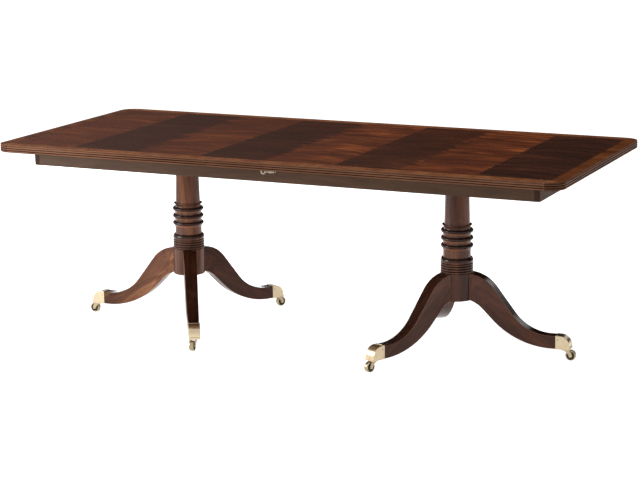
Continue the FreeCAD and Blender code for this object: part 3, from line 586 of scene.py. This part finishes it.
# Paler and darker copies of the leg wood, painted light and painted shade for two of the legs.
lit_leg_wood = leg_mahogany("lit_leg_mahogany", [
    (0.32, 0.058, 0.0195, 0.0090), (0.50, 0.145, 0.0520, 0.0225), (0.66, 0.28, 0.118, 0.053)],
    toe_darkening=0.70)
shaded_leg_wood = leg_mahogany("shaded_leg_mahogany", [
    (0.30, 0.036, 0.0115, 0.0055), (0.50, 0.070, 0.0225, 0.0105), (0.72, 0.120, 0.0400, 0.0180)],
    toe_darkening=0.15)
leg_places = ("outer", "front", "back")
odd_legs = {("left", "outer"): lit_leg_wood, ("left", "back"): shaded_leg_wood}
for half in halves:
    for place in leg_places:
        own_wood = odd_legs.get((half, place), leg_wood)
        leg = dressed(f"{half}_{place}_leg", own_wood, ease=0.0008, ease_angle=20.0)
        arris = leg.data.attributes.new("arris", "FLOAT", "FACE")
        for face in leg.data.polygons:
            rim = sum((leg.data.vertices[first].co - leg.data.vertices[second].co).length
                      for first, second in face.edge_keys)
            arris.data[face.index].value = 1.0 if face.area / rim < narrow_face else 0.0


# Leg plates. Flat iron stars under the drums that hold the legs' dovetails up. They are blacked,
# with brown patches where the black has worn.
iron, iron_tree, iron_shader = new_material("black_iron", Metallic=1.0)
iron_place = put(iron_tree, "ShaderNodeTexCoord").outputs["Object"]
iron_noise = noise(iron_tree, iron_place, (240.0, 240.0, 240.0), detail=5.0, roughness=0.65)
iron_tree.links.new(colours(iron_tree, iron_noise, [
    (0.35, 0.020, 0.019, 0.019), (0.58, 0.050, 0.047, 0.045), (0.75, 0.085, 0.060, 0.045)]),
    iron_shader.inputs["Base Color"])
iron_tree.links.new(span(iron_tree, iron_noise, 0.3, 0.7, 0.45, 0.75), iron_shader.inputs["Roughness"])
iron_bump = put(iron_tree, "ShaderNodeBump", {"Height": iron_noise, "Strength": 0.4, "Distance": 0.0003})
iron_tree.links.new(iron_bump.outputs["Normal"], iron_shader.inputs["Normal"])
for half in halves:
    dressed(f"{half}_leg_plate", iron, ease=0.0004)


# Toe caps. Cast brass boxes with a quarter-round nose, slipped over the ends of the legs. They are
# brushed and a little tarnished.
tarnish, tarnish_in, tarnish_out = new_group(
    "brass_tarnish", {"Place": "NodeSocketVector", "Scale": "NodeSocketFloat"},
    {"Tarnish": "NodeSocketFloat", "Scratches": "NodeSocketFloat"})
tarnish_place = put(tarnish, "ShaderNodeVectorMath", {
    0: tarnish_in.outputs["Place"], "Scale": tarnish_in.outputs["Scale"]}, operation="SCALE").outputs[0]
patches = noise(tarnish, tarnish_place, (38.0, 38.0, 38.0), detail=3.0, roughness=0.5)
tarnish.links.new(span(tarnish, patches, 0.40, 0.80), tarnish_out.inputs["Tarnish"])
scratches = noise(tarnish, tarnish_place, (120.0, 120.0, 2600.0), detail=2.0)
tarnish.links.new(scratches, tarnish_out.inputs["Scratches"])


def brass_finish(name, clean, aged, gloss, scale):
    """Brushed brass that goes from its clean colour to an aged one in patches."""
    material, tree, shader = new_material(name, Metallic=1.0)
    age = put(tree, "ShaderNodeGroup", {
        "Place": put(tree, "ShaderNodeTexCoord").outputs["Object"], "Scale": scale}, node_tree=tarnish)
    colour = shaded(tree, age.outputs["Tarnish"], clean, aged)
    tree.links.new(colour, shader.inputs["Base Color"])
    brushed = span(tree, age.outputs["Scratches"], 0.3, 0.7, gloss - 0.03, gloss + 0.04)
    dulled = maths(tree, "MULTIPLY_ADD", age.outputs["Tarnish"], 0.10, brushed)
    tree.links.new(dulled, shader.inputs["Roughness"])
    bump = put(tree, "ShaderNodeBump", {
        "Height": age.outputs["Scratches"], "Strength": 0.06, "Distance": 0.00001})
    tree.links.new(bump.outputs["Normal"], shader.inputs["Normal"])
    return material, tree, shader, colour


cap_brass = brass_finish(
    "cast_brass", (0.62, 0.51, 0.35, 1.0), (0.54, 0.43, 0.275, 1.0), gloss=0.28, scale=1.0)[0]
for half in halves:
    dressed(f"{half}_toe_caps", cap_brass, ease=0.0007)


# Castors. A brass horn swivels in each cap and trails its wheel on a brass pin. Both are duller than
# the cap, and the wheels' dished sides are painted dark, painted shade.
horn_brass = brass_finish(
    "horn_brass", (0.46, 0.375, 0.25, 1.0), (0.36, 0.285, 0.18, 1.0), gloss=0.30, scale=1.4)[0]
wheel_brass, wheel_tree, wheel_shader, wheel_clean = brass_finish(
    "wheel_brass", (0.40, 0.33, 0.22, 1.0), (0.28, 0.225, 0.14, 1.0), gloss=0.30, scale=1.6)
# The dish attribute marks the dished sides, which are painted dark as shade.
painted_dish_shade = put(wheel_tree, "ShaderNodeAttribute", attribute_name="dish").outputs["Fac"]
wheel_colour = tinted(wheel_tree, wheel_clean, ((painted_dish_shade, 0.94, (0.020, 0.014, 0.010, 1.0), "MIX"),))
wheel_tree.links.new(wheel_colour, wheel_shader.inputs["Base Color"])
axles = {joint["child"]: joint for joint in frame["joints"] if joint["name"].endswith("_roll")}
wheel_rim_inside = 0.0135
wheel_hub = 0.0068
dish_edge = 0.002
for half in halves:
    for place in leg_places:
        dressed(f"{half}_{place}_castor_horn", horn_brass, ease=0.0004)
        wheel = dressed(f"{half}_{place}_castor_wheel", wheel_brass, ease=0.0006, ease_angle=15.0)
        axle = axles[f"{half}_{place}_wheel"]
        axle_line = Vector(axle["axis"]).normalized()
        axle_middle = Vector(axle["pos_m"])
        wheel_half = max(abs((point.co - axle_middle).dot(axle_line)) for point in wheel.data.vertices)
        dish = wheel.data.attributes.new("dish", "FLOAT", "POINT")
        for point in wheel.data.vertices:
            from_centre = point.co - axle_middle
            aside = from_centre.dot(axle_line)
            ring = (from_centre - axle_line * aside).length
            sunk = abs(aside) < wheel_half - dish_edge
            dished = sunk and wheel_hub < ring < wheel_rim_inside + dish_edge
            dish.data[point.index].value = 1.0 if dished else 0.0


# Latch. A flat brass hook on the left apron drops over a keeper on the right one, front and back.
# Its pivot and keeper are much darker than the hook.
dark_brass = brass_finish(
    "dark_brass", (0.10, 0.070, 0.040, 1.0), (0.030, 0.020, 0.013, 1.0), gloss=0.36, scale=2.0)[0]
hook_brass = brass_finish(
    "hook_brass", (0.42, 0.37, 0.29, 1.0), (0.26, 0.21, 0.15, 1.0), gloss=0.28, scale=2.0)[0]
for piece in ("front_latch_hook", "back_latch_hook"):
    dressed(piece, hook_brass, ease=0.0003)
for piece in ("hook_pivots", "latch_keepers"):
    dressed(piece, dark_brass)


# Screws. Slotted brass screws pin each toe cap through its sides. Iron ones hold up the leg plates
# and the pedestal blocks. Each head's slot points its own way.
screw_tree = bpy.data.node_groups.new("slotted_screws", "GeometryNodeTree")
screw_sockets = {}
for label, kind in (
        ("Points", "NodeSocketGeometry"), ("Radius", "NodeSocketFloat"), ("Rise", "NodeSocketFloat"),
        ("Seed", "NodeSocketInt"), ("Finish", "NodeSocketMaterial")):
    socket = screw_tree.interface.new_socket(label, in_out="INPUT", socket_type=kind)
    screw_sockets[label] = socket.identifier
screw_tree.interface.new_socket("Heads", in_out="OUTPUT", socket_type="NodeSocketGeometry")
screw_in = put(screw_tree, "NodeGroupInput")
screw_size = put(screw_tree, "ShaderNodeCombineXYZ", {
    0: screw_in.outputs["Radius"], 1: screw_in.outputs["Radius"], 2: screw_in.outputs["Rise"]})
screw_ball = put(screw_tree, "GeometryNodeMeshUVSphere", {"Segments": 24, "Rings": 12, "Radius": 1.0})
screw_dome = put(screw_tree, "GeometryNodeTransform", {
    "Geometry": screw_ball.outputs["Mesh"], "Scale": screw_size.outputs[0]})
slot_size = put(screw_tree, "ShaderNodeVectorMath", {
    0: screw_size.outputs[0], 1: (3.0, 0.26, 1.0)}, operation="MULTIPLY")
slot_lift = put(screw_tree, "ShaderNodeVectorMath", {
    0: screw_size.outputs[0], 1: (0.0, 0.0, 0.95)}, operation="MULTIPLY")
screw_slot = put(screw_tree, "GeometryNodeTransform", {
    "Geometry": put(screw_tree, "GeometryNodeMeshCube", {"Size": slot_size.outputs[0]}).outputs["Mesh"],
    "Translation": slot_lift.outputs[0]})
screw_head = put(screw_tree, "GeometryNodeMeshBoolean", {
    0: screw_dome.outputs["Geometry"], 1: screw_slot.outputs["Geometry"]}, operation="DIFFERENCE")
screw_way = put(screw_tree, "GeometryNodeInputNamedAttribute", {"Name": "outward"}, data_type="FLOAT_VECTOR")
screw_aim = put(screw_tree, "FunctionNodeAlignRotationToVector", {
    "Vector": screw_way.outputs["Attribute"]}, axis="Z")
screw_set = put(screw_tree, "GeometryNodeInstanceOnPoints", {
    "Points": screw_in.outputs["Points"], "Instance": screw_head.outputs["Mesh"],
    "Rotation": screw_aim.outputs["Rotation"]})
screw_turn = put(screw_tree, "FunctionNodeRandomValue", {
    2: 0.0, 3: math.pi, "Seed": screw_in.outputs["Seed"]}, data_type="FLOAT")
screw_spin = put(screw_tree, "GeometryNodeRotateInstances", {
    "Instances": screw_set.outputs["Instances"],
    "Rotation": put(screw_tree, "ShaderNodeCombineXYZ", {2: screw_turn.outputs[1]}).outputs[0]})
screw_mesh = put(screw_tree, "GeometryNodeRealizeInstances", {"Geometry": screw_spin.outputs["Instances"]})
screw_coat = put(screw_tree, "GeometryNodeSetMaterial", {
    "Geometry": screw_mesh.outputs["Geometry"], "Material": screw_in.outputs["Finish"]})
put(screw_tree, "NodeGroupOutput", {"Heads": screw_coat.outputs["Geometry"]})


def screws(name, body, finish, places, radius, rise, seed):
    """Slotted heads at (place, outward) pairs, made by the node tree and kept as one plain mesh."""
    slot_edge = math.radians(40.0)
    points = bpy.data.meshes.new(name + "_points")
    points.from_pydata([place for place, outward in places], [], [])
    ways = points.attributes.new("outward", "FLOAT_VECTOR", "POINT")
    for index, (place, outward) in enumerate(places):
        ways.data[index].vector = outward
    piece = bpy.data.objects.new(name, points)
    bpy.context.scene.collection.objects.link(piece)
    make = piece.modifiers.new("screws", "NODES")
    make.node_group = screw_tree
    for label, value in (("Radius", radius), ("Rise", rise), ("Seed", seed), ("Finish", finish)):
        make[screw_sockets[label]] = value
    heads = bpy.data.meshes.new_from_object(piece.evaluated_get(bpy.context.evaluated_depsgraph_get()))
    piece.modifiers.clear()
    piece.data = heads
    heads.shade_smooth()
    heads.set_sharp_from_angle(angle=slot_edge)
    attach(piece, body)


leg_turns = {"left": (180.0, -60.0, 60.0), "right": (4.5, -115.5, 124.5)}
cap_screw_reach = 0.392
cap_screw_height = 0.079
cap_half_width = 0.022
plate_screw_reach = 0.0535
plate_underside = 0.200
block_screw_out = 0.130
block_underside = 0.697
downward = Vector((0.0, 0.0, -1.0))
for half, side in (("left", -1), ("right", 1)):
    foot = Vector((side * pedestal_x, 0.0, 0.0))
    cap_places = []
    wood_places = []
    for turn in leg_turns[half]:
        run = Vector((math.cos(math.radians(turn)), math.sin(math.radians(turn)), 0.0))
        across = Vector((-run.y, run.x, 0.0))
        for way in (-1, 1):
            cap_spot = foot + run * cap_screw_reach + across * (way * cap_half_width)
            cap_spot.z = cap_screw_height
            cap_places.append((cap_spot, across * way))
        plate_spot = foot + run * plate_screw_reach
        plate_spot.z = plate_underside
        wood_places.append((plate_spot, downward))
    for along in (-1, 1):
        for beside in (-1, 1):
            block_spot = foot + Vector((along, beside, 0.0)) * block_screw_out
            block_spot.z = block_underside
            wood_places.append((block_spot, downward))
    screws(f"{half}_cap_screws", f"{half}_half", hook_brass, cap_places,
           radius=0.0032, rise=0.0010, seed=3)
    screws(f"{half}_wood_screws", f"{half}_half", iron, wood_places,
           radius=0.0045, rise=0.0012, seed=5)


# Floor. A wide white studio floor that shows as white behind the table and keeps its soft shadow.
# It glows for the camera, and less for polish and brass.
floor_radius = 60.0
mirrored_glow = 0.30
floor_mesh = bpy.data.meshes.new("studio_floor")
floor_shape = bmesh.new()
bmesh.ops.create_circle(floor_shape, cap_ends=True, segments=96, radius=floor_radius)
floor_shape.to_mesh(floor_mesh)
floor_shape.free()
floor = bpy.data.objects.new("studio_floor", floor_mesh)
bpy.context.scene.collection.objects.link(floor)
floor_paint, floor_tree, floor_shader = new_material(
    "white_floor", Base_Color=(0.80, 0.80, 0.80, 1.0), Roughness=0.9, Specular_IOR_Level=0.0)
rays = put(floor_tree, "ShaderNodeLightPath")
seen = maths(floor_tree, "MAXIMUM", rays.outputs["Is Camera Ray"], maths(
    floor_tree, "MAXIMUM", rays.outputs["Is Glossy Ray"], rays.outputs["Is Transmission Ray"]))
floor_far = put(floor_tree, "ShaderNodeVectorMath", {
    0: put(floor_tree, "ShaderNodeTexCoord").outputs["Object"]}, operation="LENGTH").outputs["Value"]
camera_glow = span(floor_tree, floor_far, 1.5, 4.0, 0.56, 0.72)
floor_glow = maths(floor_tree, "MULTIPLY_ADD", rays.outputs["Is Camera Ray"], camera_glow, mirrored_glow)
white = put(floor_tree, "ShaderNodeEmission", {"Color": (1.0, 1.0, 1.0, 1.0), "Strength": floor_glow})
glowing = put(floor_tree, "ShaderNodeAddShader", {0: floor_shader.outputs[0], 1: white.outputs[0]})
choice = put(floor_tree, "ShaderNodeMixShader", {0: seen, 1: floor_shader.outputs[0], 2: glowing.outputs[0]})
floor_tree.links.new(choice.outputs[0], floor_tree.nodes["Material Output"].inputs["Surface"])
floor_mesh.materials.append(floor_paint)


# Light. A soft key from the front left, a bank overhead, low fills, and banks and rims behind the table,
# in a dim studio that is paler on the left and behind the camera. The camera sees the studio as white, and
# so do polish and brass, except at the back, where a dark flag keeps the white off the polished top.
def soft_bank(name, place, target, size, power):
    """A rectangular bank of light that faces a point."""
    lamp = bpy.data.lights.new(name, "AREA")
    lamp.shape = "RECTANGLE"
    lamp.size = size[0]
    lamp.size_y = size[1]
    lamp.energy = power
    bank = bpy.data.objects.new(name, lamp)
    aim = (Vector(target) - Vector(place)).to_track_quat("-Z", "Y")
    bank.matrix_world = Matrix.Translation(place) @ aim.to_matrix().to_4x4()
    bank.visible_camera = False
    bpy.context.scene.collection.objects.link(bank)


soft_bank("key_bank", (-2.5, -1.8, 1.2), (-0.7, 0.0, 0.50), size=(1.6, 1.4), power=74.0)
soft_bank("overhead_bank", (0.2, 0.2, 4.2), (0.2, 0.0, 0.6), size=(5.0, 3.0), power=160.0)
soft_bank("right_fill", (5.2, -1.6, 1.2), (0.6, 0.0, 0.4), size=(2.5, 1.6), power=15.0)
soft_bank("front_wall", (0.5, -8.5, 1.8), (0.5, 0.0, 0.8), size=(9.0, 3.0), power=30.0)
soft_bank("back_panel", (1.55, 4.6, 1.55), (0.9, 0.0, 0.3), size=(1.4, 0.9), power=6.0)
soft_bank("left_back_bank", (-3.2, 1.2, 3.0), (0.4, -0.2, 0.2), size=(1.3, 1.0), power=14.0)
soft_bank("left_rim", (-4.4, 1.9, 0.45), (-0.8, 0.0, 0.55), size=(1.6, 0.8), power=16.0)
soft_bank("right_rim", (4.5, 1.0, 0.45), (0.5, 0.0, 0.45), size=(1.2, 0.8), power=8.0)
soft_bank("low_back_panel", (-2.4, 3.4, 0.33), (-0.65, 0.15, 0.12), size=(2.4, 0.6), power=18.0)
soft_bank("floor_bounce", (0.0, -0.6, 0.004), (0.0, -0.6, 1.0), size=(6.0, 5.0), power=45.0)
world = bpy.data.worlds.new("dim_studio")
world.use_nodes = True
world_tree = world.node_tree
world_way = put(world_tree, "ShaderNodeSeparateXYZ", {
    0: put(world_tree, "ShaderNodeTexCoord").outputs["Generated"]})
to_front = span(world_tree, world_way.outputs["Y"], -0.15, -0.55)
off_floor = span(world_tree, world_way.outputs["Z"], 0.1, 0.2)
below_roof = span(world_tree, world_way.outputs["Z"], 0.55, 0.75, 1.0, 0.35)
wall_height = maths(world_tree, "MULTIPLY", off_floor, below_roof)
behind_camera = maths(world_tree, "MULTIPLY", to_front, wall_height)
left_to_right = span(world_tree, world_way.outputs["X"], -0.56, -0.34)
walls = shaded(world_tree, left_to_right, (0.090, 0.090, 0.090, 1.0), (0.008, 0.008, 0.008, 1.0))
studio = shaded(world_tree, behind_camera, walls, (0.65, 0.65, 0.65, 1.0))
world_rays = put(world_tree, "ShaderNodeLightPath")
clear_of_flag = span(world_tree, world_way.outputs["Y"], 0.30, -0.10)
mirrored = maths(world_tree, "MULTIPLY_ADD", world_rays.outputs["Is Glossy Ray"], clear_of_flag,
                 world_rays.outputs["Is Transmission Ray"])
seen_white = maths(world_tree, "MAXIMUM", world_rays.outputs["Is Camera Ray"], mirrored)
world_colour = shaded(world_tree, seen_white, studio, (1.0, 1.0, 1.0, 1.0))
world_tree.links.new(world_colour, world_tree.nodes["Background"].inputs["Color"])
bpy.context.scene.world = world
bpy.context.scene.view_settings.view_transform = "Standard"


# Camera. It stands to the right of the middle and looks down a little, with a long lens. Its place, turn
# and lens were fitted to the edges and feet in the photograph.
camera_place = Vector((2.99933, -6.61543, 1.94546))
azimuth = math.radians(24.348)
elevation = math.radians(12.171)
roll = math.radians(-0.504)
forward = Vector((
    -math.sin(azimuth) * math.cos(elevation), math.cos(azimuth) * math.cos(elevation), -math.sin(elevation)))
level = Vector((math.cos(azimuth), math.sin(azimuth), 0.0))
upward = level.cross(forward)
right = level * math.cos(roll) + upward * math.sin(roll)
top = upward * math.cos(roll) - level * math.sin(roll)
lens = bpy.data.cameras.new("studio_camera")
lens.sensor_width = 36.0
lens.lens = 109.005
camera = bpy.data.objects.new("studio_camera", lens)
camera.matrix_world = Matrix.Translation(camera_place) @ Matrix((right, top, -forward)).transposed().to_4x4()
bpy.context.scene.collection.objects.link(camera)
bpy.context.scene.camera = camera
